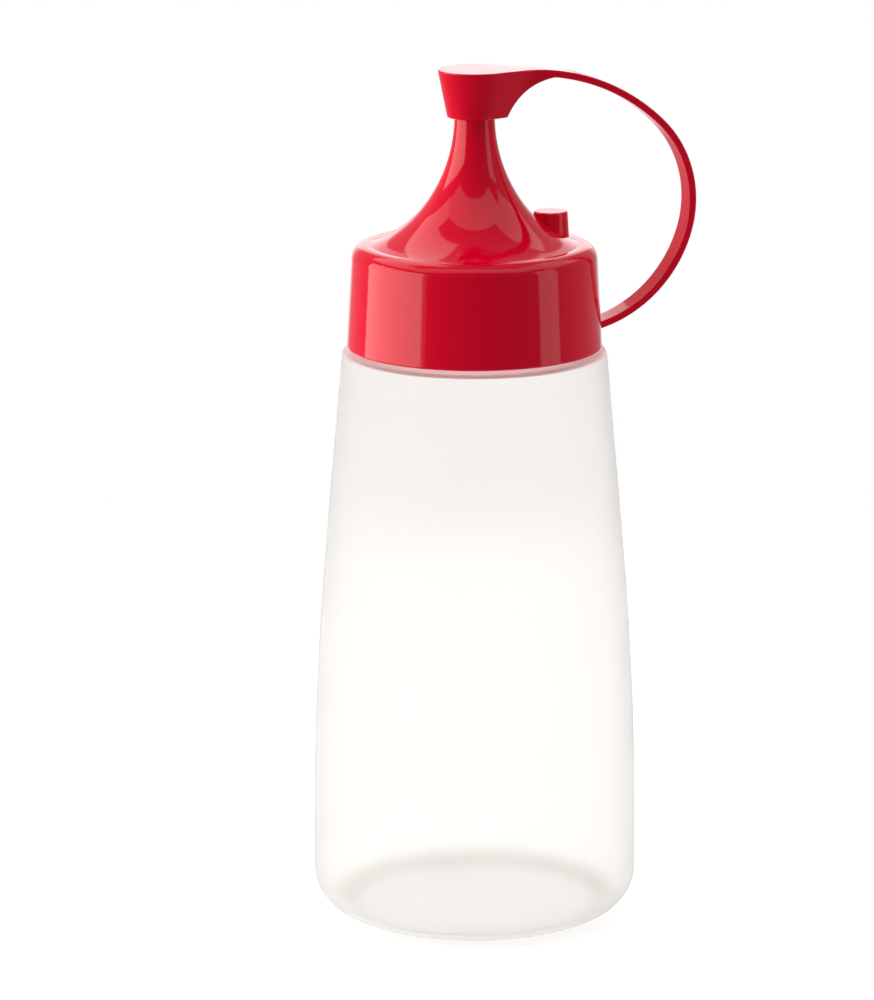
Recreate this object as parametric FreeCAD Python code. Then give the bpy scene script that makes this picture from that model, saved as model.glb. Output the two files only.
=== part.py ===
"""Squeeze bottle for sauces: a blown bottle and a moulded closure with a tethered tip cap.

Frame: millimetres, +Z up, origin at the centre of the base on the plane the bottle stands on.
The strap of the closure lies in the XZ plane on the +X side.

Two real pieces, one solid each:
    bottle   blow-moulded soft bottle, one even wall, open neck, flat base
    closure  one red moulding: screw skirt, flared nozzle, parking peg, strap and tip cap
"""
import FreeCAD
import Part

import math
import os

# ------------------------------------------------------------------ driving dimensions, mm, degrees
# bottle body
BODY_RADIUS = 35.0            # widest radius, just above the base corner
BODY_HEIGHT = 124.4           # standing plane to the top of the shoulder
BODY_BEND_HEIGHT = 49.0       # where the upright lower wall and the tapered upper wall would meet
BODY_BEND_RADIUS = 730.0      # long curve that joins the two
BODY_WALL = 1.0
BASE_CORNER_RADIUS = 9.0
BASE_WALL = 1.4
SHOULDER_WIDTH = 4.3          # from the neck out to the top of the body wall
SHOULDER_RADIUS = 1.4         # rounding of the shoulder edge
SHOULDER_DROP = 0.3           # the shoulder falls this much towards its edge
NECK_ROOT_RADIUS = 1.0
# bottle neck
NECK_RADIUS = 24.0
NECK_WALL = 1.4
LIP_RADIUS = 0.5              # rounding of the lip's outer edge
# closure: skirt and ledge
SKIRT_HEIGHT = 22.2           # lower edge to the ledge on top
SKIRT_GAP = 0.4               # lower edge above the shoulder
THREAD_GAP = 0.9              # neck to the inside of the skirt, where the screw thread runs
SKIRT_WALL_TOP = 1.2
SKIRT_DRAFT = 1.25            # the skirt is this much wider in radius at its lower edge
SKIRT_EDGE_RADIUS = 0.4
RIM_RADIUS = 3.2              # rounding from the skirt onto the ledge
LEDGE_WIDTH = 3.8             # skirt's top radius in to the foot of the flare
# closure: flare and nozzle
CLOSURE_WALL = 1.5
FLARE_FOOT_SLOPE = 18.2       # the flare leaves the ledge at this angle
FLARE_LOWER_RADIUS = 23.7
FLARE_LOWER_TURN = 35.5
FLARE_UPPER_RADIUS = 32.2
FLARE_UPPER_TURN = 34.0
NOZZLE_LENGTH = 9.4           # straight tapered end above the flare
# closure: parking peg for the tip cap
PEG_RADIUS = 3.65             # at its top
PEG_DRAFT = 3.5
PEG_HEIGHT = 6.2              # above the ledge
PEG_OFFSET = 17.0             # axis of the bottle to axis of the peg
PEG_EDGE_RADIUS = 0.5
PEG_CORE_RADIUS = 1.9         # cored out from below to keep an even wall
PEG_TOP_WALL = 1.5
# closure: tip cap
TIP_TOP_RADIUS = 7.9
TIP_LOWER_RADIUS = 5.85
TIP_HEIGHT = 10.2
TIP_TOP_WALL = 1.6
TIP_EDGE_RADIUS = 0.6         # lower edge
TIP_RIM_RADIUS = 0.25         # upper edge
TIP_CLEARANCE = 0.2           # bore to nozzle, all round and at the end
# closure: strap
STRAP_WIDTH = 5.85
STRAP_THICKNESS = 1.55
STRAP_EDGE_RADIUS = 0.3
STRAP_BEGIN = 0.4             # the strap's top starts to fall at this share of the tip cap's radius
STRAP_FALL = 1.85             # slope of the straight start, which leaves the top of the tip cap
STRAP_START = 13.3            # axis to the end of the straight start
STRAP_UPPER_RADIUS = 41.7
STRAP_UPPER_TURN = 42.5
STRAP_OUTER_RADIUS = 23.9
STRAP_OUTER_TURN = 61.0
STRAP_ROOT_HEIGHT = 2.96      # root in the skirt wall above the skirt's lower edge
WEB_RADIUS = 14.5             # hollow curve of the web under the strap
WEB_REACH = 6.0               # end of the straight start to the top of that curve
WEB_CROWN_DROP = 0.16         # the top of the curve is this much below the strap's straight start
WEB_SIDE_ANGLE = 26.5         # in plan the web narrows from the tip cap to the strap at this angle
WEB_PLAN_RADIUS = 9.4         # hollow curve where its sides run into the strap

# ------------------------------------------------------------------ sizes that follow
SHOULDER_Z = BODY_HEIGHT
SKIRT_Z = SHOULDER_Z + SKIRT_GAP
LEDGE_Z = SKIRT_Z + SKIRT_HEIGHT
SKIRT_INNER_RADIUS = NECK_RADIUS + THREAD_GAP
SKIRT_TOP_RADIUS = SKIRT_INNER_RADIUS + SKIRT_WALL_TOP
SKIRT_LOWER_RADIUS = SKIRT_TOP_RADIUS + SKIRT_DRAFT
FLARE_FOOT_RADIUS = SKIRT_TOP_RADIUS - LEDGE_WIDTH
CEILING_Z = LEDGE_Z - CLOSURE_WALL * math.cos(math.radians(FLARE_FOOT_SLOPE))
BODY_TOP_RADIUS = NECK_RADIUS + SHOULDER_WIDTH


# ------------------------------------------------------------------ small geometry kit
def vec(x, z, y=0.0):
    """A point of the XZ plane, or one lifted off it along Y."""
    return FreeCAD.Vector(x, y, z)


def heading(angle):
    """Unit vector of the XZ plane at an angle from +X towards +Z."""
    return vec(math.cos(math.radians(angle)), math.sin(math.radians(angle)))


def rounded(corners):
    """Edges along a run of (r, z, rounding) corners, each rounded by a tangent arc.

    A rounding is limited by the shorter of the two sides it stands on.
    """
    points = [vec(r, z) for r, z, _ in corners]
    trims = [0.0] * len(corners)
    for i in range(1, len(corners) - 1):
        a, b = points[i - 1] - points[i], points[i + 1] - points[i]
        half = a.getAngle(b) / 2.0
        if corners[i][2] > 0 and half < math.pi / 2 - 1e-6:
            trims[i] = corners[i][2] / math.tan(half)
    for i in range(1, len(corners) - 1):
        before = (points[i] - points[i - 1]).Length
        after = (points[i + 1] - points[i]).Length
        share_before = before * trims[i] / max(trims[i] + trims[i - 1], 1e-9)
        share_after = after * trims[i] / max(trims[i] + trims[i + 1], 1e-9)
        trims[i] = min(trims[i], 0.98 * share_before, 0.98 * share_after)
    edges, at = [], points[0]
    for i in range(1, len(corners)):
        if i == len(corners) - 1 or trims[i] < 1e-6:
            edges.append(Part.makeLine(at, points[i]))
            at = points[i]
            continue
        a = (points[i - 1] - points[i]).normalize()
        b = (points[i + 1] - points[i]).normalize()
        start, end = points[i] + a * trims[i], points[i] + b * trims[i]
        half = a.getAngle(b) / 2.0
        bisector = (a + b).normalize()
        radius = trims[i] * math.tan(half)
        middle = points[i] + bisector * (trims[i] / math.cos(half) - radius)
        if (start - at).Length > 1e-6:
            edges.append(Part.makeLine(at, start))
        edges.append(Part.Arc(start, middle, end).toShape())
        at = end
    return edges


def tangent_run(start, angle, steps):
    """Edges that leave a point at a heading: (None, length) goes straight, (radius, turn) bends.

    A positive turn is to the left, seen with +X to the right and +Z up. Also gives the end
    point and the heading there.
    """
    edges, at = [], start
    for radius, amount in steps:
        if radius is None:
            end = at + heading(angle) * amount
            edges.append(Part.makeLine(at, end))
            at = end
            continue
        side = 1.0 if amount > 0 else -1.0
        centre = at + heading(angle + 90.0 * side) * radius
        middle = centre + heading(angle - 90.0 * side + amount / 2.0) * radius
        end = centre + heading(angle - 90.0 * side + amount) * radius
        edges.append(Part.Arc(at, middle, end).toShape())
        at, angle = end, angle + amount
    return edges, at, angle


def revolve(edges):
    """Solid of revolution about Z from an outline whose two ends are closed onto the axis."""
    wire = Part.Wire(Part.__sortEdges__(edges))
    ends = [v.Point for v in (wire.OrderedVertexes[0], wire.OrderedVertexes[-1])]
    closing = []
    feet = [vec(0.0, p.z) for p in ends]
    for end, foot in zip(ends, feet):
        if (end - foot).Length > 1e-6:
            closing.append(Part.makeLine(end, foot))
    closing.append(Part.makeLine(feet[0], feet[1]))
    face = Part.Face(Part.Wire(Part.__sortEdges__(edges + closing)))
    return face.revolve(vec(0, 0), vec(0, 1), 360.0)


# ------------------------------------------------------------------ bottle
def bottle_outline(inset, floor):
    """Half outline of the bottle from the floor's centre to the lip, set in by a wall."""
    neck_inset = NECK_WALL if inset > 0 else 0.0
    lip = 0.0 if inset > 0 else LIP_RADIUS
    shoulder = SHOULDER_Z - inset
    top = CEILING_Z + (5.0 if inset > 0 else 0.0)
    corners = [
        (0.0, floor, 0.0),
        (BODY_RADIUS - inset, floor, BASE_CORNER_RADIUS - inset),
        (BODY_RADIUS - inset, BODY_BEND_HEIGHT, BODY_BEND_RADIUS - inset),
        (BODY_TOP_RADIUS - inset, shoulder - SHOULDER_DROP, SHOULDER_RADIUS - inset),
        (NECK_RADIUS - neck_inset, shoulder, NECK_ROOT_RADIUS + neck_inset),
        (NECK_RADIUS - neck_inset, top, lip),
    ]
    if inset == 0:
        corners.append((NECK_RADIUS - NECK_WALL * 0.5, top, 0.0))
    return rounded(corners)


def make_bottle():
    """Blow-moulded bottle: even wall, hollow through the neck, flat floor."""
    outside = revolve(bottle_outline(0.0, 0.0))
    inside = revolve(bottle_outline(BODY_WALL, BASE_WALL))
    return outside.cut(inside)


# ------------------------------------------------------------------ closure
def flare_run(inset):
    """Flare and nozzle from the foot up, set in by a wall: two tangent arcs and a taper."""
    normal = heading(-90.0 - FLARE_FOOT_SLOPE)
    foot = vec(FLARE_FOOT_RADIUS, LEDGE_Z) + normal * inset
    steps = [
        (FLARE_LOWER_RADIUS + inset, -FLARE_LOWER_TURN),
        (FLARE_UPPER_RADIUS + inset, -FLARE_UPPER_TURN),
        (None, NOZZLE_LENGTH),
    ]
    edges, end, angle = tangent_run(foot, 180.0 - FLARE_FOOT_SLOPE, steps)
    return foot, edges, end, angle


def nozzle_frustum(grow, z_low, z_high):
    """Solid that follows the nozzle's taper between two heights, grown by a clearance."""
    _, _, tip, angle = flare_run(0.0)
    slope = math.cos(math.radians(angle)) / math.sin(math.radians(angle))
    radii = [tip.x + grow + slope * (z - tip.z) for z in (z_low, z_high)]
    return Part.makeCone(radii[0], radii[1], z_high - z_low, vec(0, z_low), vec(0, 1))


def closure_outside():
    """Outer form of the screw cap: drafted skirt, rounded rim, ledge, flare and nozzle."""
    foot, flare, tip, _ = flare_run(0.0)
    skirt = rounded([
        (0.0, SKIRT_Z, 0.0),
        (SKIRT_LOWER_RADIUS, SKIRT_Z, SKIRT_EDGE_RADIUS),
        (SKIRT_TOP_RADIUS, LEDGE_Z, RIM_RADIUS),
        (foot.x, foot.z, 0.0),
    ])
    return revolve(skirt + flare)


def closure_inside():
    """Hollow of the screw cap, open below and through the nozzle."""
    foot, flare, tip, angle = flare_run(CLOSURE_WALL)
    beyond = tip + heading(angle) * 2.0
    skirt = rounded([
        (SKIRT_INNER_RADIUS + SKIRT_DRAFT * 0.5, SKIRT_Z - 1.0, 0.0),
        (SKIRT_INNER_RADIUS, CEILING_Z, 0.4),
        (foot.x, CEILING_Z, 0.0),
    ])
    return revolve(skirt + flare + [Part.makeLine(tip, beyond)])


def peg():
    """Tapered round peg that the tip cap is parked on, and the core that hollows it from below."""
    top = LEDGE_Z + PEG_HEIGHT
    low = CEILING_Z - 1.0
    spread = (top - low) * math.tan(math.radians(PEG_DRAFT))
    outline = rounded([(0.0, low, 0.0), (PEG_RADIUS + spread, low, 0.0),
                       (PEG_RADIUS, top, PEG_EDGE_RADIUS), (0.0, top, 0.0)])
    core = Part.makeCylinder(PEG_CORE_RADIUS, top - PEG_TOP_WALL - low + 1.0, vec(0, low - 1.0), vec(0, 1))
    place = vec(PEG_OFFSET, 0)
    solid = revolve(outline)
    solid.translate(place)
    core.translate(place)
    return solid, core


def strap_steps(offset):
    """Strap's run in the XZ plane at an offset from its centre line, from tip cap to skirt.

    The last bend is the one arc that leaves the outer bend tangentially and ends in the middle
    of the skirt wall at the root height.
    """
    _, _, tip, _ = flare_run(0.0)
    top = tip.z + TIP_CLEARANCE + TIP_TOP_WALL - STRAP_THICKNESS / 2.0
    begin = vec(TIP_TOP_RADIUS * STRAP_BEGIN, top)
    straight = (STRAP_START - begin.x) / math.cos(math.radians(STRAP_FALL))
    bends = [(None, straight), (STRAP_UPPER_RADIUS, -STRAP_UPPER_TURN),
             (STRAP_OUTER_RADIUS, -STRAP_OUTER_TURN)]
    _, at, angle = tangent_run(begin, -STRAP_FALL, bends)
    root_z = SKIRT_Z + STRAP_ROOT_HEIGHT
    wall = SKIRT_LOWER_RADIUS - SKIRT_DRAFT * STRAP_ROOT_HEIGHT / SKIRT_HEIGHT
    root = vec((wall + SKIRT_INNER_RADIUS) / 2.0, root_z)
    chord = root - at
    side = heading(angle - 90.0)
    radius = chord.Length ** 2 / (2.0 * chord.dot(side))
    sweep = 2.0 * math.degrees(math.asin(chord.Length / (2.0 * radius)))
    bends.append((radius, -sweep))
    start = begin + heading(90.0 - STRAP_FALL) * offset
    return start, [(None if r is None else r + offset, a) for r, a in bends]


def strap():
    """Flat ribbon along the strap's run, with eased long edges."""
    half = STRAP_THICKNESS / 2.0
    runs = []
    for offset in (half, -half):
        start, steps = strap_steps(offset)
        runs.append((start,) + tangent_run(start, -STRAP_FALL, steps))
    edges = runs[0][1] + runs[1][1]
    edges.append(Part.makeLine(runs[0][0], runs[1][0]))
    edges.append(Part.makeLine(runs[0][2], runs[1][2]))
    face = Part.Face(Part.Wire(Part.__sortEdges__(edges)))
    face.translate(vec(0, 0, -STRAP_WIDTH / 2.0))
    ribbon = face.extrude(vec(0, 0, STRAP_WIDTH))
    ends = (runs[0][0] + runs[1][0]) * 0.5, (runs[0][2] + runs[1][2]) * 0.5
    long_edges = []
    for edge in ribbon.Edges:
        flat = abs(edge.BoundBox.YMin - edge.BoundBox.YMax) < 1e-6
        if flat and all((vec(e.x, e.z) - end).Length > half * 1.1
                        for end in ends for e in [edge.CenterOfMass]):
            long_edges.append(edge)
    return ribbon.makeFillet(STRAP_EDGE_RADIUS, long_edges)


def web(top_z, low_z):
    """Web between tip cap and strap: hollow curve below, narrowing to the strap in plan."""
    start_top, under_z = strap_faces(STRAP_START)
    centre = vec(STRAP_START + WEB_REACH, under_z - WEB_CROWN_DROP - WEB_RADIUS)
    drop = low_z - centre.z
    foot_x = centre.x - math.sqrt(max(WEB_RADIUS ** 2 - drop ** 2, 0.01))
    crown = centre + vec(0, WEB_RADIUS)
    middle_angle = (90.0 + math.degrees(math.atan2(drop, foot_x - centre.x))) / 2.0
    side = [
        Part.Arc(vec(foot_x, low_z), centre + heading(middle_angle) * WEB_RADIUS, crown).toShape(),
        Part.makeLine(crown, vec(crown.x, crown.z + STRAP_THICKNESS * 0.3)),
        Part.makeLine(vec(crown.x, crown.z + STRAP_THICKNESS * 0.3), vec(STRAP_START, start_top)),
        Part.makeLine(vec(STRAP_START, start_top), vec(TIP_TOP_RADIUS * STRAP_BEGIN, top_z)),
        Part.makeLine(vec(TIP_TOP_RADIUS * STRAP_BEGIN, top_z), vec(0, top_z)),
        Part.makeLine(vec(0, top_z), vec(0, low_z)),
        Part.makeLine(vec(0, low_z), vec(foot_x, low_z)),
    ]
    slab = Part.Face(Part.Wire(Part.__sortEdges__(side)))
    slab.translate(vec(0, 0, -TIP_TOP_RADIUS))
    slab = slab.extrude(vec(0, 0, 2.0 * TIP_TOP_RADIUS))
    return slab.common(web_plan(top_z, low_z, crown.x))


def web_plan(top_z, low_z, reach):
    """Drafted plan of the web: it leaves the tip cap tangentially at every height."""
    angle = math.radians(WEB_SIDE_ANGLE)
    touch_x, touch_y = TIP_TOP_RADIUS * math.sin(angle), TIP_TOP_RADIUS * math.cos(angle)
    half = STRAP_WIDTH / 2.0
    narrow_x = touch_x + (touch_y - half) / math.tan(angle)
    end_x = max(narrow_x, reach) + 8.0
    outline = rounded([(0.0, touch_y, 0.0), (touch_x, touch_y, 0.0),
                       (narrow_x, half, WEB_PLAN_RADIUS), (end_x, half, 0.0)])
    plan = outline + [e.mirror(vec(0, 0), vec(0, 1)) for e in outline]
    plan.append(Part.makeLine(vec(0, touch_y), vec(0, -touch_y)))
    plan.append(Part.makeLine(vec(end_x, half), vec(end_x, -half)))
    wire = Part.Wire(Part.__sortEdges__(plan))
    wire.rotate(vec(0, 0), FreeCAD.Vector(1, 0, 0), -90.0)
    rings = []
    for z in (low_z - 1.0, top_z + 0.5):
        ring = wire.copy()
        ring.scale(1.0 + (z - top_z) * (1.0 - TIP_LOWER_RADIUS / TIP_TOP_RADIUS) / TIP_HEIGHT, vec(0, 0))
        ring.translate(vec(0, z))
        rings.append(ring)
    return Part.makeLoft(rings, True, True)


def strap_faces(x):
    """Heights of the strap's top and lower faces at a place on its straight start."""
    tops = []
    for offset in (STRAP_THICKNESS / 2.0, -STRAP_THICKNESS / 2.0):
        start, _ = strap_steps(offset)
        tops.append(start.z - (x - start.x) * math.tan(math.radians(STRAP_FALL)))
    return tops


def tip_cap_and_strap():
    """Tip cap over the nozzle, its web and the strap, with the bore that clears the nozzle."""
    _, _, tip, _ = flare_run(0.0)
    bore_top = tip.z + TIP_CLEARANCE
    top = bore_top + TIP_TOP_WALL
    low = top - TIP_HEIGHT
    cap = revolve(rounded([(0.0, low, 0.0), (TIP_LOWER_RADIUS, low, TIP_EDGE_RADIUS),
                           (TIP_TOP_RADIUS, top, TIP_RIM_RADIUS), (0.0, top, 0.0)]))
    bore = nozzle_frustum(TIP_CLEARANCE, low - 1.0, bore_top)
    return cap.fuse([web(top, low), strap()]).cut(bore)


def make_closure():
    """The whole red moulding as one solid."""
    peg_solid, peg_core = peg()
    tool = closure_inside()
    screw_cap = closure_outside().fuse(peg_solid).cut(tool.fuse(peg_core))
    return screw_cap.fuse(tip_cap_and_strap()).removeSplitter()


# ------------------------------------------------------------------ write
def single_solid(shape, name):
    """The one solid of a shape; anything else is an error in the model."""
    if len(shape.Solids) != 1 or not shape.isValid():
        raise ValueError("%s: %d solids, valid %s" % (name, len(shape.Solids), shape.isValid()))
    return shape.Solids[0]


def main():
    """Build both pieces and write one STEP file each."""
    os.makedirs("parts", exist_ok=True)
    for name, shape in (("bottle", make_bottle()), ("closure", make_closure())):
        solid = single_solid(shape, name)
        solid.exportStep("parts/%s.step" % name)
        box = solid.BoundBox
        print("%-8s volume %.2f cm3  x %.2f..%.2f  y %.2f..%.2f  z %.2f..%.2f  faces %d" % (
            name, solid.Volume / 1000.0, box.XMin, box.XMax, box.YMin, box.YMax,
            box.ZMin, box.ZMax, len(solid.Faces)))


main()
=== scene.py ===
"""Squeeze bottle for sauces: a frosted blown bottle and a glossy closure with a tethered tip cap.

Sizes are in millimetres while a piece is built and in metres in its mesh. +Z is up, the origin is
the centre of the base, and the strap lies in the XZ plane towards +X.
"""

import logging
import math
from dataclasses import dataclass, field
from enum import Enum
from typing import Any, Sequence

import bmesh
import bpy
from mathutils import Matrix, Quaternion, Vector


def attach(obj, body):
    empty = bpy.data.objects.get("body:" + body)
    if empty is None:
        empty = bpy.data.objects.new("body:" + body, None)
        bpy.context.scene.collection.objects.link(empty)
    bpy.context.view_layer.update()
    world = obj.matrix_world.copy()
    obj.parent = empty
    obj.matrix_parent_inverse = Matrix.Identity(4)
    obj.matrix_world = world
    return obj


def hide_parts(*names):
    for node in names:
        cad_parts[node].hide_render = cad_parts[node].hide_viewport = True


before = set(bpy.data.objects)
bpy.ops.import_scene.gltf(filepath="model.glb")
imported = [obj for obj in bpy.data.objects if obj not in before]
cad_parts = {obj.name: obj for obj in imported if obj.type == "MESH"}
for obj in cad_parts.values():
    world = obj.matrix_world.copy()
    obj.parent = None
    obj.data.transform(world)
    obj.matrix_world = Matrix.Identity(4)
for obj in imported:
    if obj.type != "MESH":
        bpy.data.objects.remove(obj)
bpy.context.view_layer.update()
MM = 0.001
SAME_POINT = 1e-4      # points nearer than this, in millimetres, are one
ON_AXIS = 1e-3         # points nearer the axis than this, in millimetres, are on it
SHORTEST = 1e-3        # straights shorter than this, in millimetres, are left out
ARC_DEGREES = 4.0      # largest turn of one edge of an arc
ARC_LENGTH = 4.0       # longest edge of an arc, in millimetres
Colour = tuple[float, float, float, float]
WHITE: Colour = (1.0, 1.0, 1.0, 1.0)
log = logging.getLogger("squeeze_bottle")


# ---------------------------------------------------------------------------- outlines and meshes
@dataclass(frozen=True)
class Corner:
    """Corner of an outline: radius from the axis, height and rounding, in millimetres."""

    r: float
    z: float
    rounding: float = 0.0


def heading(angle: float) -> Vector:
    """Unit vector of the XZ plane at an angle in degrees from +X towards +Z."""
    return Vector((math.cos(math.radians(angle)), 0.0, math.sin(math.radians(angle))))


def towards(azimuth: float, elevation: float) -> Vector:
    """Unit vector out from the object, at an azimuth from the front and an elevation, in degrees."""
    a, e = math.radians(azimuth), math.radians(elevation)
    return Vector((math.sin(a) * math.cos(e), -math.cos(a) * math.cos(e), math.sin(e)))


class Outline:
    """Run of edges in the XZ plane that grows from its tip by straights and tangent bends."""

    def __init__(self, mesh: bmesh.types.BMesh, start: Sequence[float], angle: float) -> None:
        """Puts down the first point.

        Args:
            mesh: The mesh the run is drawn in.
            start: Its x and z in millimetres.
            angle: The heading it leaves at, in degrees.
        """
        self.mesh = mesh
        self.angle = angle
        self.first = bmesh.ops.create_vert(mesh, co=(start[0], 0.0, start[1]))["vert"][0]
        self.tip = self.first

    def straight(self, length: float, pieces: int = 1) -> None:
        """Goes straight on for a length, in equal pieces."""
        for _ in range(pieces):
            self.tip = bmesh.ops.extrude_vert_indiv(self.mesh, verts=[self.tip])["verts"][0]
            bmesh.ops.translate(self.mesh, verts=[self.tip], vec=heading(self.angle) * (length / pieces))

    def held_straight(self, length: float, hold: float = 0.3) -> None:
        """Goes straight on, with a short piece at either end that holds the shading flat."""
        if length < 4.0 * hold:
            self.straight(length)
            return
        self.straight(hold)
        self.straight(length - 2.0 * hold)
        self.straight(hold)

    def bend(self, radius: float, turn: float, steps: int = 0) -> None:
        """Goes round an arc that leaves the tip tangentially.

        Args:
            radius: Radius of the arc.
            turn: Degrees turned, positive to the left.
            steps: Edges in the arc, or 0 for as many as the longest and widest edge allow.
        """
        side = math.copysign(1.0, turn)
        by_angle = abs(turn) / ARC_DEGREES
        by_length = radius * math.radians(abs(turn)) / ARC_LENGTH
        steps = steps or max(3, math.ceil(by_angle), math.ceil(by_length))
        made = bmesh.ops.spin(
            self.mesh, geom=[self.tip], cent=self.tip.co + heading(self.angle + 90.0 * side) * radius,
            axis=(0.0, -side, 0.0), dvec=(0.0, 0.0, 0.0), angle=math.radians(abs(turn)), steps=steps,
            use_merge=False, use_normal_flip=False, use_duplicate=False)
        self.tip = next(item for item in made["geom_last"] if isinstance(item, bmesh.types.BMVert))
        self.angle += turn

    @classmethod
    def through(cls, mesh: bmesh.types.BMesh, corners: Sequence[Corner]) -> "Outline":
        """Draws a run through corners, each rounded by a tangent arc.

        Args:
            mesh: The mesh it is drawn in.
            corners: The corners in order; the first and last are its ends.

        Returns:
            The outline, with its tip at the last corner.
        """
        legs = [Vector((b.r - a.r, b.z - a.z)) for a, b in zip(corners, corners[1:])]
        angles = [math.degrees(math.atan2(leg.y, leg.x)) for leg in legs]
        turns = [(b - a + 180.0) % 360.0 - 180.0 for a, b in zip(angles, angles[1:])]
        trims = [0.0] + [c.rounding * math.tan(math.radians(abs(t)) / 2.0)
                         for c, t in zip(corners[1:-1], turns)] + [0.0]
        run = cls(mesh, (corners[0].r, corners[0].z), angles[0])
        for i, leg in enumerate(legs):
            run.angle = angles[i]
            length = leg.length - trims[i] - trims[i + 1]
            if length > SHORTEST:
                run.held_straight(length)
            if i < len(turns) and trims[i + 1] > 0.0:
                run.bend(corners[i + 1].rounding, turns[i])
        return run

    def points(self) -> list[Vector]:
        """The run's points in order, from its first to its tip."""
        found, vert, last = [self.first.co.copy()], self.first, None
        while vert is not self.tip:
            edge = next(e for e in vert.link_edges if e is not last)
            vert, last = edge.other_vert(vert), edge
            found.append(vert.co.copy())
        return found


def revolve(mesh: bmesh.types.BMesh, steps: int) -> None:
    """Turns all that a mesh holds once round the Z axis and closes its seam and poles."""
    for vert in mesh.verts:
        if vert.co.x < ON_AXIS:
            vert.co.x = 0.0
    bmesh.ops.spin(mesh, geom=mesh.verts[:] + mesh.edges[:], cent=(0.0, 0.0, 0.0), axis=(0.0, 0.0, 1.0),
                   dvec=(0.0, 0.0, 0.0), angle=math.tau, steps=steps, use_merge=True,
                   use_normal_flip=False, use_duplicate=False)
    bmesh.ops.remove_doubles(mesh, verts=mesh.verts[:], dist=SAME_POINT)


def hold_broad_faces(data: bpy.types.Mesh) -> None:
    """Turns each point's normal to its largest faces, so that they stay true beside eased edges."""
    sums = [Vector() for _ in data.vertices]
    for face in data.polygons:
        for index in face.vertices:
            sums[index] += face.normal * face.area
    data.normals_split_custom_set_from_vertices([total.normalized() for total in sums])


def make_piece(name: str, mesh: bmesh.types.BMesh, material: bpy.types.Material,
               sharp: float = 38.0) -> bpy.types.Object:
    """Makes an object of a finished mesh, in metres, that rides on the body.

    Args:
        name: Name of the piece.
        mesh: Its mesh in millimetres, which is used up.
        material: Its finish.
        sharp: Edges above this angle in degrees are shaded sharp.

    Returns:
        The piece.
    """
    bmesh.ops.scale(mesh, vec=(MM, MM, MM), verts=mesh.verts[:])
    bmesh.ops.recalc_face_normals(mesh, faces=mesh.faces[:])
    for face in mesh.faces:
        face.smooth = True
    for edge in mesh.edges:
        edge.smooth = edge.calc_face_angle(0.0) < math.radians(sharp)
    data = bpy.data.meshes.new(name)
    mesh.to_mesh(data)
    mesh.free()
    hold_broad_faces(data)
    data.materials.append(material)
    piece = bpy.data.objects.new(name, data)
    bpy.context.scene.collection.objects.link(piece)
    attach(piece, "root")
    log.info("%s: %d faces", name, len(data.polygons))
    return piece


# ---------------------------------------------------------------------------- node trees
class Value:
    """A number in a node tree, with arithmetic that adds its Math nodes."""

    def __init__(self, recipe: "Recipe", socket: bpy.types.NodeSocket) -> None:
        """Wraps one float socket of a recipe."""
        self.recipe = recipe
        self.socket = socket

    def _math(self, operation: str, first: Any, second: Any = None, clamp: bool = False) -> "Value":
        """Adds one Math node and wraps what comes out."""
        inputs = {0: first} if second is None else {0: first, 1: second}
        node = self.recipe.node("ShaderNodeMath", {"operation": operation, "use_clamp": clamp}, inputs)
        return Value(self.recipe, node.outputs[0])

    def __add__(self, other: Any) -> "Value":
        """This plus another."""
        return self._math("ADD", self, other)

    __radd__ = __add__

    def __mul__(self, other: Any) -> "Value":
        """This times another."""
        return self._math("MULTIPLY", self, other)

    __rmul__ = __mul__

    def __sub__(self, other: Any) -> "Value":
        """This less another."""
        return self._math("SUBTRACT", self, other)

    def __rsub__(self, other: Any) -> "Value":
        """Another less this."""
        return self._math("SUBTRACT", other, self)

    def __truediv__(self, other: Any) -> "Value":
        """This over another."""
        return self._math("DIVIDE", self, other)

    def clamped(self) -> "Value":
        """This held between 0 and 1."""
        return self._math("ADD", self, 0.0, clamp=True)


class Recipe:
    """The node tree of one material or world."""

    def __init__(self, owner: Any) -> None:
        """Clears the owner's tree and takes it over."""
        owner.use_nodes = True
        self.owner = owner
        self.tree = owner.node_tree
        self.tree.nodes.clear()

    def node(self, kind: str, settings: dict[str, Any] | None = None,
             inputs: dict[Any, Any] | None = None) -> bpy.types.Node:
        """Adds a node, sets it up, then fills its sockets.

        Args:
            kind: The node's type.
            settings: Its own properties.
            inputs: Values, links or wrapped numbers by socket name, identifier or index.

        Returns:
            The node.
        """
        node = self.tree.nodes.new(kind)
        for key, value in (settings or {}).items():
            setattr(node, key, value)
        for key, value in (inputs or {}).items():
            socket = self._socket(node, key)
            source = value.socket if isinstance(value, Value) else value
            if isinstance(source, bpy.types.NodeSocket):
                self.tree.links.new(source, socket)
            else:
                socket.default_value = source
        return node

    def _socket(self, node: bpy.types.Node, key: Any) -> bpy.types.NodeSocket:
        """Finds an input by index, identifier or name."""
        if isinstance(key, int):
            return node.inputs[key]
        for socket in node.inputs:
            if socket.identifier == key:
                return socket
        return node.inputs[key]

    def value(self, node: bpy.types.Node, output: str) -> Value:
        """Wraps one output of a node."""
        return Value(self, node.outputs[output])

    def noise(self, place: bpy.types.NodeSocket, scale: float, detail: float = 2.0,
              rough: float = 0.5) -> Value:
        """Noise of a scale over a place, around one half."""
        node = self.node("ShaderNodeTexNoise", {"noise_dimensions": "3D"},
                         {"Vector": place, "Scale": scale, "Detail": detail, "Roughness": rough})
        return Value(self, node.outputs[0])

    def blend(self, mask: Any, first: Any, second: Any) -> bpy.types.NodeSocket:
        """Colour between two by a mask."""
        node = self.node("ShaderNodeMix", {"data_type": "RGBA", "blend_type": "MIX"},
                         {"Factor_Float": mask, "A_Color": first, "B_Color": second})
        return next(s for s in node.outputs if s.identifier == "Result_Color")


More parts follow.
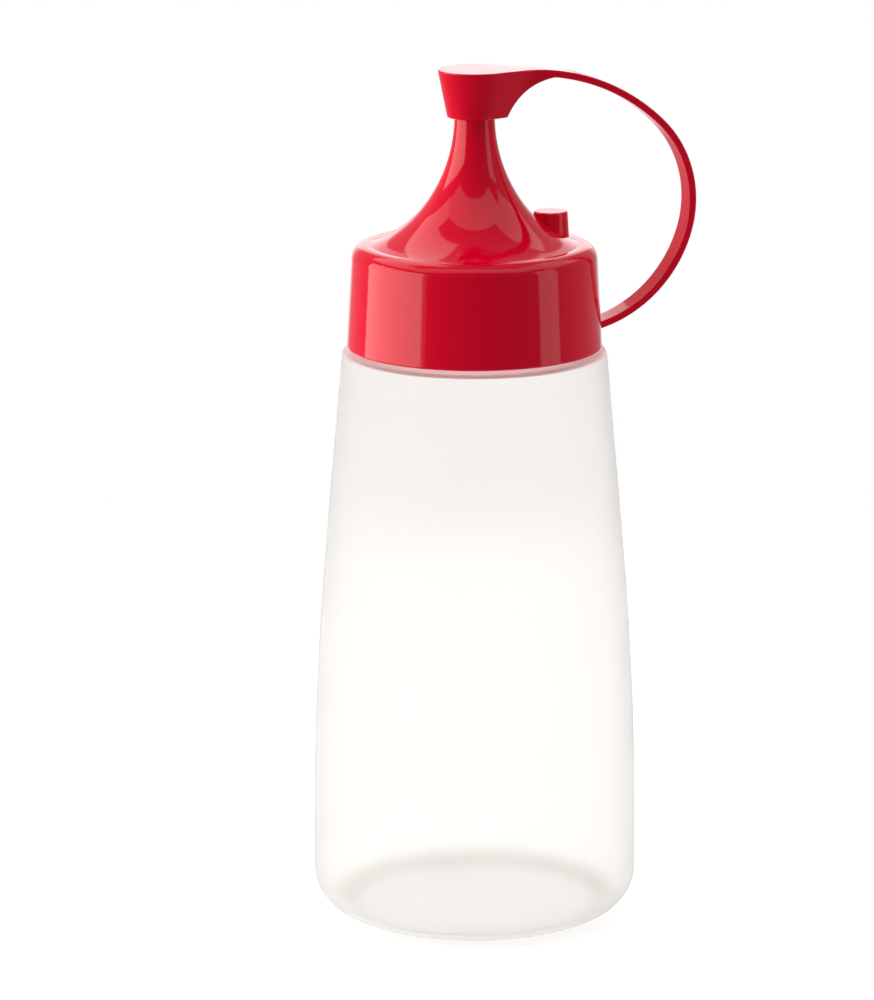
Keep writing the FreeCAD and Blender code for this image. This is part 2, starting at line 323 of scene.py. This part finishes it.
class Gloss(Enum):
    """How polished the mould was that a piece came from."""

    POLISHED = 0.075
    FROSTED = 0.34


@dataclass(frozen=True)
class ClosurePlastic:
    """Glossy coloured polypropylene with the faint waves and specks of a moulded face."""

    deep: Colour = (0.77, 0.0, 0.022, 1.0)
    clear: Colour = (0.85, 0.0, 0.028, 1.0)
    gloss: Gloss = Gloss.POLISHED
    haze: float = 0.03
    cloud_scale: float = 90.0
    wave_scale: float = 55.0
    grain_scale: float = 1500.0
    wave: float = 0.00004
    grain: float = 0.000002
    refraction: float = 1.5
    shine: float = 0.36

    def make(self) -> bpy.types.Material:
        """Builds the material."""
        recipe = Recipe(bpy.data.materials.new("closure_plastic"))
        place = recipe.node("ShaderNodeTexCoord").outputs["Object"]
        cloud = recipe.noise(place, self.cloud_scale, 3.0)
        wave = recipe.noise(place, self.wave_scale, 1.0, 0.4)
        grain = recipe.noise(place, self.grain_scale)
        colour = recipe.blend(cloud, self.deep, self.clear)
        rough = grain * self.haze + cloud * self.haze + (self.gloss.value - self.haze)
        height = wave * self.wave + grain * self.grain
        bump = recipe.node("ShaderNodeBump", None, {"Strength": 1.0, "Distance": 1.0, "Height": height})
        shader = recipe.node("ShaderNodeBsdfPrincipled", None, {
            "Base Color": colour, "Roughness": rough, "Normal": bump.outputs[0],
            "IOR": self.refraction, "Specular IOR Level": self.shine,
        })
        recipe.node("ShaderNodeOutputMaterial", None, {"Surface": shader.outputs[0]})
        return recipe.owner


@dataclass(frozen=True)
class BottlePlastic:
    """Natural low-density polyethylene: frosted and milky, with painted shade darkening its base.

    The shoulder has a painted reflection of the red closure above it. Heights are in metres.
    """

    milk: Colour = (0.96, 0.945, 0.93, 1.0)
    pale: Colour = (0.975, 0.96, 0.945, 1.0)
    gloss: Gloss = Gloss.FROSTED
    clearness: float = 1.0
    refraction: float = 1.07
    bloom: float = 0.5
    bloom_roughness: float = 0.5
    # painted reflection: the closure's red painted into the shoulder's colour, from a height upwards
    painted_red_reflection: Colour = (0.94, 0.46, 0.51, 1.0)
    painted_red_reflection_from: float = 0.1232
    painted_red_reflection_over: float = 0.0008
    # painted shade: a darker colour painted into the bottom of the bottle, below a height
    base: Colour = (0.77, 0.75, 0.73, 1.0)
    base_shade_to: float = 0.0032
    base_shade_over: float = 0.0014
    flow_stretch: float = 0.12
    flow_scale: float = 120.0
    flow_haze: float = 0.06
    grain_scale: float = 1800.0
    grain_haze: float = 0.04
    grain: float = 0.000006

    def make(self) -> bpy.types.Material:
        """Builds the material."""
        recipe = Recipe(bpy.data.materials.new("bottle_plastic"))
        place = recipe.node("ShaderNodeTexCoord").outputs["Object"]
        stretched = recipe.node("ShaderNodeMapping", None, {
            "Vector": place, "Scale": (1.0, 1.0, self.flow_stretch)})
        flow = recipe.noise(stretched.outputs[0], self.flow_scale, 3.0)
        grain = recipe.noise(place, self.grain_scale)
        height = recipe.value(recipe.node("ShaderNodeSeparateXYZ", None, {0: place}), "Z")
        # mask of the painted red reflection on the shoulder
        shoulder = ((height - self.painted_red_reflection_from) / self.painted_red_reflection_over).clamped()
        # mask of the painted shade in the base
        painted_base_shade = ((self.base_shade_to - height) / self.base_shade_over).clamped()
        wall = recipe.blend(painted_base_shade, recipe.blend(flow, self.milk, self.pale), self.base)
        colour = recipe.blend(shoulder, wall, self.painted_red_reflection)
        middle = (self.flow_haze + self.grain_haze) / 2.0
        rough = flow * self.flow_haze + grain * self.grain_haze + (self.gloss.value - middle)
        bump = recipe.node("ShaderNodeBump", None, {
            "Strength": 1.0, "Distance": 1.0, "Height": grain * self.grain + flow * (self.grain * 2.0)})
        shader = recipe.node("ShaderNodeBsdfPrincipled", None, {
            "Base Color": colour, "Roughness": rough, "Normal": bump.outputs[0],
            "IOR": self.refraction, "Transmission Weight": self.clearness,
            "Sheen Weight": self.bloom, "Sheen Roughness": self.bloom_roughness,
        })
        recipe.node("ShaderNodeOutputMaterial", None, {"Surface": shader.outputs[0]})
        return recipe.owner


@dataclass(frozen=True)
class FloorPaper:
    """Pale matt paper that glows a little, as a table lit from below does."""

    tint: Colour = (0.6, 0.6, 0.6, 1.0)
    light: Colour = (0.64, 0.64, 0.64, 1.0)
    roughness: float = 0.9
    grain_scale: float = 900.0
    glow: float = 0.5

    def make(self) -> bpy.types.Material:
        """Builds the material."""
        recipe = Recipe(bpy.data.materials.new("floor_paper"))
        place = recipe.node("ShaderNodeTexCoord").outputs["Object"]
        grain = recipe.noise(place, self.grain_scale)
        colour = recipe.blend(grain, self.tint, self.light)
        shader = recipe.node("ShaderNodeBsdfPrincipled", None, {
            "Base Color": colour, "Roughness": self.roughness,
            "Emission Color": WHITE, "Emission Strength": self.glow,
        })
        recipe.node("ShaderNodeOutputMaterial", None, {"Surface": shader.outputs[0]})
        return recipe.owner


# ---------------------------------------------------------------------------- the bottle
@dataclass(frozen=True)
class Bottle:
    """Blow-moulded bottle, one even wall, open through the neck into the closure."""

    body_radius: float = 35.0
    body_height: float = 124.4
    bend_height: float = 49.0
    bend_radius: float = 730.0
    wall: float = 1.0
    base_corner: float = 9.0
    base_wall: float = 1.4
    top_radius: float = 28.3
    shoulder_edge: float = 1.4
    shoulder_drop: float = 0.3
    neck_radius: float = 24.0
    neck_wall: float = 1.4
    neck_foot: float = 1.0
    inner_neck_foot: float = 2.4
    inner_shoulder: float = 0.4
    lip_z: float = 145.575
    lip_edge: float = 0.5
    steps: int = 160

    def corners(self) -> list[Corner]:
        """The half outline of the wall, from the base's centre round to the inner base's centre."""
        inner, edge_z = self.wall, self.body_height - self.shoulder_drop
        neck_in = self.neck_radius - self.neck_wall
        return [
            Corner(0.0, 0.0),
            Corner(self.body_radius, 0.0, self.base_corner),
            Corner(self.body_radius, self.bend_height, self.bend_radius),
            Corner(self.top_radius, edge_z, self.shoulder_edge),
            Corner(self.neck_radius, self.body_height, self.neck_foot),
            Corner(self.neck_radius, self.lip_z, self.lip_edge),
            Corner(neck_in, self.lip_z, self.lip_edge),
            Corner(neck_in, self.body_height - inner, self.inner_neck_foot),
            Corner(self.top_radius - inner, edge_z - inner, self.inner_shoulder),
            Corner(self.body_radius - inner, self.bend_height, self.bend_radius - inner),
            Corner(self.body_radius - inner, self.base_wall, self.base_corner - inner),
            Corner(0.0, self.base_wall),
        ]

    def build(self) -> bpy.types.Object:
        """Builds the bottle in place of its CAD node."""
        mesh = bmesh.new()
        Outline.through(mesh, self.corners())
        revolve(mesh, self.steps)
        piece = make_piece("bottle_shell", mesh, BottlePlastic().make())
        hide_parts("bottle")
        return piece


# ---------------------------------------------------------------------------- the closure
@dataclass(frozen=True)
class ScrewCap:
    """Skirt, ledge, flare and nozzle in one wall, and the peg that the tip cap parks on."""

    skirt_z: float = 124.8
    ledge_z: float = 147.0
    lower_radius: float = 27.35
    upper_radius: float = 26.1
    skirt_edge: float = 0.4
    rim_radius: float = 3.2
    foot_radius: float = 22.3
    foot_slope: float = 18.2
    crease: float = 0.25
    wall: float = 1.5
    inner_radius: float = 24.9
    mouth_radius: float = 25.5
    flare: tuple[tuple[float, float], ...] = ((23.7, 35.5), (32.2, 34.0))
    flare_steps: int = 18
    nozzle: float = 9.4
    peg_radius: float = 3.65
    peg_draft: float = 3.5
    peg_height: float = 6.2
    peg_offset: float = 17.0
    peg_edge: float = 0.5
    peg_root: float = 0.8
    peg_steps: int = 72
    steps: int = 192

    def shell(self, mesh: bmesh.types.BMesh) -> float:
        """Draws the closed half outline and gives the height of the nozzle's tip."""
        trim = self.crease * math.tan(math.radians(self.foot_slope) / 2.0)
        run = Outline.through(mesh, [
            Corner(self.mouth_radius, self.skirt_z),
            Corner(self.lower_radius, self.skirt_z, self.skirt_edge),
            Corner(self.upper_radius, self.ledge_z, self.rim_radius),
            Corner(self.foot_radius + trim, self.ledge_z),
        ])
        run.bend(self.crease, -self.foot_slope)
        (low_r, low_turn), (high_r, high_turn) = self.flare
        run.bend(low_r, -low_turn, self.flare_steps)
        run.bend(high_r, -high_turn, self.flare_steps)
        run.held_straight(self.nozzle)
        tip_z = run.tip.co.z
        run.angle += 90.0
        run.straight(self.wall)
        run.angle += 90.0
        run.held_straight(self.nozzle)
        run.bend(high_r + self.wall, high_turn, self.flare_steps)
        run.bend(low_r + self.wall, low_turn, self.flare_steps)
        ceiling = run.tip.co.copy()
        run.angle = 0.0
        run.straight(self.inner_radius - ceiling.x)
        draft, drop = self.mouth_radius - self.inner_radius, self.skirt_z - ceiling.z
        run.angle = math.degrees(math.atan2(drop, draft))
        run.held_straight(math.hypot(drop, draft))
        return tip_z

    def tip_height(self) -> float:
        """Height of the nozzle's tip."""
        mesh = bmesh.new()
        height = self.shell(mesh)
        mesh.free()
        return height

    def build(self, material: bpy.types.Material) -> list[bpy.types.Object]:
        """Builds the screw cap and its peg."""
        mesh = bmesh.new()
        self.shell(mesh)
        revolve(mesh, self.steps)
        cap = make_piece("screw_cap", mesh, material)
        return [cap, self.peg(material)]

    def peg(self, material: bpy.types.Material) -> bpy.types.Object:
        """Builds the tapered round peg, rooted in the ledge."""
        mesh = bmesh.new()
        low, top = self.ledge_z - self.peg_root, self.ledge_z + self.peg_height
        spread = (top - low) * math.tan(math.radians(self.peg_draft))
        Outline.through(mesh, [
            Corner(0.0, low),
            Corner(self.peg_radius + spread, low),
            Corner(self.peg_radius, top, self.peg_edge),
            Corner(0.0, top),
        ])
        revolve(mesh, self.peg_steps)
        bmesh.ops.translate(mesh, verts=mesh.verts[:], vec=(self.peg_offset, 0.0, 0.0))
        return make_piece("parking_peg", mesh, material)


@dataclass(frozen=True)
class TipCap:
    """Round tip cap, the web that narrows from it, and the strap that runs back to the skirt."""

    tip_z: float
    top_radius: float = 7.9
    lower_radius: float = 5.85
    height: float = 10.2
    top_wall: float = 1.6
    clearance: float = 0.2
    long_edge: float = 0.3
    edge_steps: int = 3
    eased_from: float = 45.0
    sharp_from: float = 50.0
    width: float = 5.85
    thickness: float = 1.55
    begin: float = 3.16
    fall: float = 1.85
    straight_end: float = 13.3
    bends: tuple[tuple[float, float], ...] = ((41.7, 42.5), (23.9, 61.0))
    least_bend_steps: int = 8
    bend_step: float = 2.0
    root: tuple[float, float] = (26.04, 127.76)
    root_height: float = 3.0
    root_depth: float = 0.1
    web_radius: float = 14.5
    web_reach: float = 6.0
    crown_drop: float = 0.16
    web_end: float = 18.4
    web_gap: float = 0.4
    side_angle: float = 26.5
    plan_radius: float = 9.4
    round_steps: int = 46
    side_steps: int = 26
    blend_steps: int = 6
    halvings: int = 40

    @property
    def top_z(self) -> float:
        """Height of the flat top."""
        return self.tip_z + self.clearance + self.top_wall

    @property
    def low_z(self) -> float:
        """Height of the lower edge."""
        return self.top_z - self.height

    def run(self, offset: float) -> list[Vector]:
        """Points of the strap's run at an offset from its centre line, from where it first bends.

        Args:
            offset: Distance outwards from the centre line.

        Returns:
            The points, the same number for every offset.
        """
        start = Vector((self.straight_end, 0.0, self.strap_at(self.straight_end, 0.0)))
        mesh = bmesh.new()
        line = Outline(mesh, (start.x, start.z), -self.fall)
        for radius, turn in self.bends:
            line.bend(radius, -turn, 3)
        chord = Vector((self.root[0], 0.0, self.root[1])) - line.tip.co
        last = chord.length_squared / (2.0 * chord.dot(heading(line.angle - 90.0)))
        sweep = 2.0 * math.degrees(math.asin(chord.length / (2.0 * last)))
        mesh.clear()
        at = start + heading(90.0 - self.fall) * offset
        line = Outline(mesh, (at.x, at.z), -self.fall)
        for radius, turn in (*self.bends, (last, sweep)):
            line.bend(radius + offset, -turn, max(self.least_bend_steps, round(turn / self.bend_step)))
        points = line.points()
        mesh.free()
        return points

    def strap_at(self, x: float, offset: float) -> float:
        """Height of the strap at a place along +X.

        Args:
            x: The place, up to somewhere on the first bend.
            offset: Distance outwards from the centre line.

        Returns:
            The height of that layer of the strap.
        """
        fall, middle = math.radians(self.fall), self.top_z - self.thickness / 2.0
        if x <= self.straight_end:
            return middle - (x - self.begin) * math.tan(fall) + offset / math.cos(fall)
        radius = self.bends[0][0]
        end_z = middle - (self.straight_end - self.begin) * math.tan(fall)
        centre = Vector((self.straight_end, 0.0, end_z)) + heading(-90.0 - self.fall) * radius
        return centre.z + math.sqrt((radius + offset) ** 2 - (x - centre.x) ** 2)

    def top_at(self, x: float) -> float:
        """Height of the top face, flat over the cap and falling along the strap."""
        return self.top_z if x <= self.begin else self.strap_at(x, self.thickness / 2.0)

    def under_at(self, x: float) -> float:
        """Height of the underside: the cap's lower edge, the web's hollow curve, then the strap."""
        half = self.thickness / 2.0
        crown = self.strap_at(self.straight_end, -half) - self.crown_drop
        away = max(self.straight_end + self.web_reach - x, 0.0)
        if away >= self.web_radius:
            return self.low_z
        curve = crown - self.web_radius + math.sqrt(self.web_radius ** 2 - away ** 2)
        return max(self.low_z, min(curve, self.strap_at(x, -half)))

    def drop(self, vert: bmesh.types.BMVert) -> None:
        """Moves a point of the top outline down the drafted side until it meets the underside."""
        taper = (1.0 - self.lower_radius / self.top_radius) / self.height
        top, low, high = vert.co.copy(), 0.0, self.height
        sunk = self.top_z - top.z
        for _ in range(self.halvings):
            depth = (low + high) / 2.0
            if self.top_z - depth > self.under_at(top.x * (1.0 - taper * (depth - sunk))):
                low = depth
            else:
                high = depth
        inset = 1.0 - taper * (low - sunk)
        vert.co = Vector((top.x * inset, top.y * inset, self.top_z - low))

    def plan(self, mesh: bmesh.types.BMesh) -> list[bmesh.types.BMEdge]:
        """Draws half the plan at the top face: round the cap, tangent sides, strap's edge."""
        side, half = self.side_angle, self.width / 2.0
        touch = heading(90.0 - side) * self.top_radius
        run = Outline(mesh, (-self.top_radius, 0.0), 90.0)
        run.bend(self.top_radius, -90.0 - side, self.round_steps)
        run.angle = -side
        trim = self.plan_radius * math.tan(math.radians(side) / 2.0)
        run.straight((touch.z - half) / math.sin(math.radians(side)) - trim, self.side_steps)
        run.bend(self.plan_radius, side, self.blend_steps)
        run.angle = 0.0
        run.straight(self.web_end - run.tip.co.x, self.blend_steps)
        bmesh.ops.rotate(mesh, verts=mesh.verts[:], cent=(0.0, 0.0, 0.0),
                         matrix=Matrix.Rotation(-math.pi / 2, 3, "X"))
        for vert in mesh.verts:
            vert.co.z = self.top_at(vert.co.x)
        return mesh.edges[:]

    def build(self, material: bpy.types.Material) -> bpy.types.Object:
        """Builds tip cap, web and strap as one closed piece."""
        mesh = bmesh.new()
        chain = self.plan(mesh)
        chains = [chain]
        for step in ("across", "down", "back"):
            made = bmesh.ops.extrude_edge_only(mesh, edges=chains[-1])["geom"]
            verts = [g for g in made if isinstance(g, bmesh.types.BMVert)]
            fresh = set(verts)
            for vert in verts:
                if step == "down":
                    self.drop(vert)
                else:
                    vert.co.y = -vert.co.y
            chains.append([g for g in made if isinstance(g, bmesh.types.BMEdge)
                           and g.verts[0] in fresh and g.verts[1] in fresh])
        bmesh.ops.bridge_loops(mesh, edges=chains[0] + chains[-1])
        bmesh.ops.remove_doubles(mesh, verts=mesh.verts[:], dist=SAME_POINT)
        self.strap(mesh)
        self.flatten(mesh)
        self.ease(mesh)
        return make_piece("tip_cap_and_strap", mesh, material, self.sharp_from)

    def strap(self, mesh: bmesh.types.BMesh) -> None:
        """Grows the strap from the web's open end, section by section, into the skirt wall."""
        bmesh.ops.holes_fill(mesh, edges=[e for e in mesh.edges if e.is_boundary], sides=0)
        faces = zip(self.run(self.thickness / 2.0), self.run(-self.thickness / 2.0))
        far = max(mesh.faces, key=lambda f: f.calc_center_median().x)
        for above, below in faces:
            if below.x < self.web_end + self.web_gap and below.z > self.low_z:
                continue
            made = bmesh.ops.extrude_discrete_faces(mesh, faces=[far])["faces"]
            far = made[0]
            upper = sorted(far.verts, key=lambda v: (v.co - above).length - (v.co - below).length)[:2]
            for vert in far.verts:
                place = above if vert in upper else below
                vert.co = Vector((place.x, math.copysign(self.width / 2.0, vert.co.y), place.z))

    def flatten(self, mesh: bmesh.types.BMesh) -> None:
        """Joins the strips of the cap's flat top and of its flat underside into one face each."""
        for height, limit in ((self.top_z, self.begin), (self.low_z, self.top_radius)):
            level = [f for f in mesh.faces if all(abs(v.co.z - height) < SAME_POINT for v in f.verts)
                     and all(v.co.x < limit for v in f.verts)]
            if len(level) > 1:
                bmesh.ops.dissolve_faces(mesh, faces=level, use_verts=False)

    def ease(self, mesh: bmesh.types.BMesh) -> None:
        """Eases the long edges of cap, web and strap, but not the end that sinks into the skirt."""
        x, z = self.root[0] + self.root_depth, self.root[1] + self.root_height
        edges = [e for e in mesh.edges if len(e.link_faces) == 2
                 and e.calc_face_angle(0.0) > math.radians(self.eased_from)
                 and not all(v.co.z < z and v.co.x < x for v in e.verts)]
        bmesh.ops.bevel(mesh, geom=edges, offset=self.long_edge, offset_type="OFFSET",
                        segments=self.edge_steps, profile=0.5, affect="EDGES", clamp_overlap=True,
                        material=-1, loop_slide=True)


@dataclass(frozen=True)
class Closure:
    """The whole one-piece moulding."""

    screw_cap: ScrewCap = field(default_factory=ScrewCap)

    def build(self) -> list[bpy.types.Object]:
        """Builds every part of the closure in place of its CAD node."""
        material = ClosurePlastic().make()
        pieces = self.screw_cap.build(material)
        pieces.append(TipCap(tip_z=self.screw_cap.tip_height()).build(material))
        for piece in pieces:
            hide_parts("closure")
        return pieces


# ---------------------------------------------------------------------------- studio
@dataclass(frozen=True)
class Softbox:
    """Rectangular lamp: where it stands round the object, how large and how bright its face is."""

    name: str
    azimuth: float
    elevation: float
    distance: float
    width: float
    height: float
    glow: float
    tint: tuple[float, float, float] = (1.0, 1.0, 1.0)

    def build(self, target: Vector) -> None:
        """Hangs the lamp, facing the target."""
        back = towards(self.azimuth, self.elevation)
        self.hang(target + back * self.distance, (-back).to_track_quat("-Z", "Y"))

    def hang(self, place: Vector, turn: Quaternion) -> None:
        """Hangs the lamp at a place with a turn."""
        data = bpy.data.lights.new(self.name, "AREA")
        data.shape, data.size, data.size_y = "RECTANGLE", self.width, self.height
        data.energy, data.color = self.glow * math.pi * self.width * self.height, self.tint
        lamp = bpy.data.objects.new(self.name, data)
        lamp.location = place
        lamp.rotation_mode = "QUATERNION"
        lamp.rotation_quaternion = turn
        bpy.context.scene.collection.objects.link(lamp)


@dataclass(frozen=True)
class CeilingPanel(Softbox):
    """Level lamp over the object, between sides given as shares of its height above the ledge."""

    left: float = -1.0
    right: float = 1.0
    near: float = 1.0
    far: float = 0.0

    @classmethod
    def over(cls, name: str, sides: tuple[float, float, float, float], glow: float,
             height: float = 0.7) -> "CeilingPanel":
        """Sizes a panel from its left, right, near and far sides."""
        left, right, near, far = sides
        return cls(name, 0.0, 90.0, height, (right - left) * height, (near - far) * height, glow,
                   left=left, right=right, near=near, far=far)

    def build(self, target: Vector) -> None:
        """Hangs the panel level, turned with the camera."""
        turn = Matrix.Rotation(math.radians(Studio.azimuth), 3, "Z")
        middle = Vector(((self.left + self.right) / 2.0, -(self.near + self.far) / 2.0, 1.0))
        self.hang(target + turn @ middle * self.distance, turn.to_quaternion())


@dataclass(frozen=True)
class Studio:
    """Camera, lamps, floor and surroundings."""

    target: tuple[float, float, float] = (0.0, 0.0, 0.09075)
    ledge: tuple[float, float, float] = (0.0, 0.0, 0.15)
    azimuth: float = -17.0
    elevation: float = 13.34
    distance: float = 1.1
    lens: float = 183.5
    sensor: float = 36.0
    shift: float = -0.03759
    clip: tuple[float, float] = (0.01, 50.0)
    floor_sides: tuple[float, float, float, float] = (-0.3, 0.3, 0.14, 0.34)
    room_front: Colour = (0.1, 0.1, 0.1, 1.0)
    room_back: Colour = (0.4, 0.4, 0.4, 1.0)
    lit_from: float = 0.9
    lit_rate: float = 16.0
    through: Colour = (0.975, 0.965, 0.955, 1.0)
    lamps: tuple[Softbox, ...] = (
        Softbox("left_wall", -99.0, 4.0, 0.9, 1.19, 0.73, 2.5, (1.0, 1.0, 0.9)),
        Softbox("left_wall_edge", -97.0, 4.0, 0.89, 1.27, 0.72, 0.5),
        Softbox("right_strip", 54.5, 6.0, 0.9, 0.347, 0.8, 1.15),
        Softbox("back_wall", 163.0, 22.0, 1.2, 0.66, 0.85, 0.9),
        CeilingPanel.over("ceiling_front", (-1.2, 1.0, 0.8, 0.14), 1.05),
        CeilingPanel.over("ceiling_left", (-1.3, -0.7, 0.14, -0.24), 1.6),
        CeilingPanel.over("ceiling_back_left", (-1.3, -0.17, -0.24, -1.2), 1.6),
        CeilingPanel.over("ceiling_right", (0.46, 1.56, 0.22, -1.2), 0.9),
    )

    def camera(self) -> None:
        """Stands the camera where the object is looked at from."""
        back = towards(self.azimuth, self.elevation)
        data = bpy.data.cameras.new("camera")
        data.lens, data.sensor_width, data.shift_x = self.lens, self.sensor, self.shift
        data.clip_start, data.clip_end = self.clip
        camera = bpy.data.objects.new("camera", data)
        camera.location = Vector(self.target) + back * self.distance
        camera.rotation_mode = "QUATERNION"
        camera.rotation_quaternion = (-back).to_track_quat("-Z", "Y")
        bpy.context.scene.collection.objects.link(camera)
        bpy.context.scene.camera = camera

    def floor(self) -> None:
        """Lays the pale sheet that the object stands on, turned with the camera."""
        left, right, near, far = self.floor_sides
        middle = ((left + right) / 2.0, (far - near) / 2.0, 0.0)
        mesh = bmesh.new()
        bmesh.ops.create_grid(mesh, x_segments=8, y_segments=8, size=0.5)
        bmesh.ops.scale(mesh, verts=mesh.verts[:], vec=(right - left, near + far, 1.0))
        bmesh.ops.translate(mesh, verts=mesh.verts[:], vec=middle)
        bmesh.ops.rotate(mesh, verts=mesh.verts[:], cent=(0.0, 0.0, 0.0),
                         matrix=Matrix.Rotation(math.radians(self.azimuth), 3, "Z"))
        data = bpy.data.meshes.new("studio_floor")
        mesh.to_mesh(data)
        mesh.free()
        data.materials.append(FloorPaper().make())
        floor = bpy.data.objects.new("studio_floor", data)
        bpy.context.scene.collection.objects.link(floor)

    def surroundings(self) -> None:
        """Makes a dim room, lighter behind the object, with a white screen straight behind it.

        The closure mirrors that room. What is seen through the bottle is the same pale all round, and
        the background is white.
        """
        world = bpy.data.worlds.new("studio")
        bpy.context.scene.world = world
        recipe = Recipe(world)
        place = recipe.node("ShaderNodeTexCoord").outputs["Generated"]
        a = math.radians(self.azimuth)
        facing = recipe.node("ShaderNodeVectorMath", {"operation": "DOT_PRODUCT"},
                             {0: place, 1: (-math.sin(a), math.cos(a), 0.0)})
        depth = recipe.value(facing, "Value")
        room = recipe.blend((depth * 0.5 + 0.5).clamped(), self.room_front, self.room_back)
        colour = recipe.blend(((depth - self.lit_from) * self.lit_rate).clamped(), room, WHITE)
        path = recipe.node("ShaderNodeLightPath")
        through = recipe.blend(path.outputs["Transmission Depth"], colour, self.through)
        around = recipe.blend(path.outputs["Is Diffuse Ray"], through, colour)
        shown = recipe.blend(path.outputs["Is Camera Ray"], around, WHITE)
        light = recipe.node("ShaderNodeBackground", None, {"Color": shown, "Strength": 1.0})
        recipe.node("ShaderNodeOutputWorld", None, {"Surface": light.outputs[0]})

    def build(self) -> None:
        """Sets up all of it."""
        self.camera()
        self.floor()
        self.surroundings()
        for lamp in self.lamps:
            lamp.build(Vector(self.ledge))
        bpy.context.scene.view_settings.view_transform = "Standard"


def main() -> None:
    """Builds the bottle, its closure and the studio, and reports each piece."""
    logging.basicConfig(level=logging.INFO, format="%(name)s %(message)s")
    Studio().build()
    Bottle().build()
    for piece in Closure().build():
        log.info("built %s", piece.name)


if __name__ == "__main__":
    main()
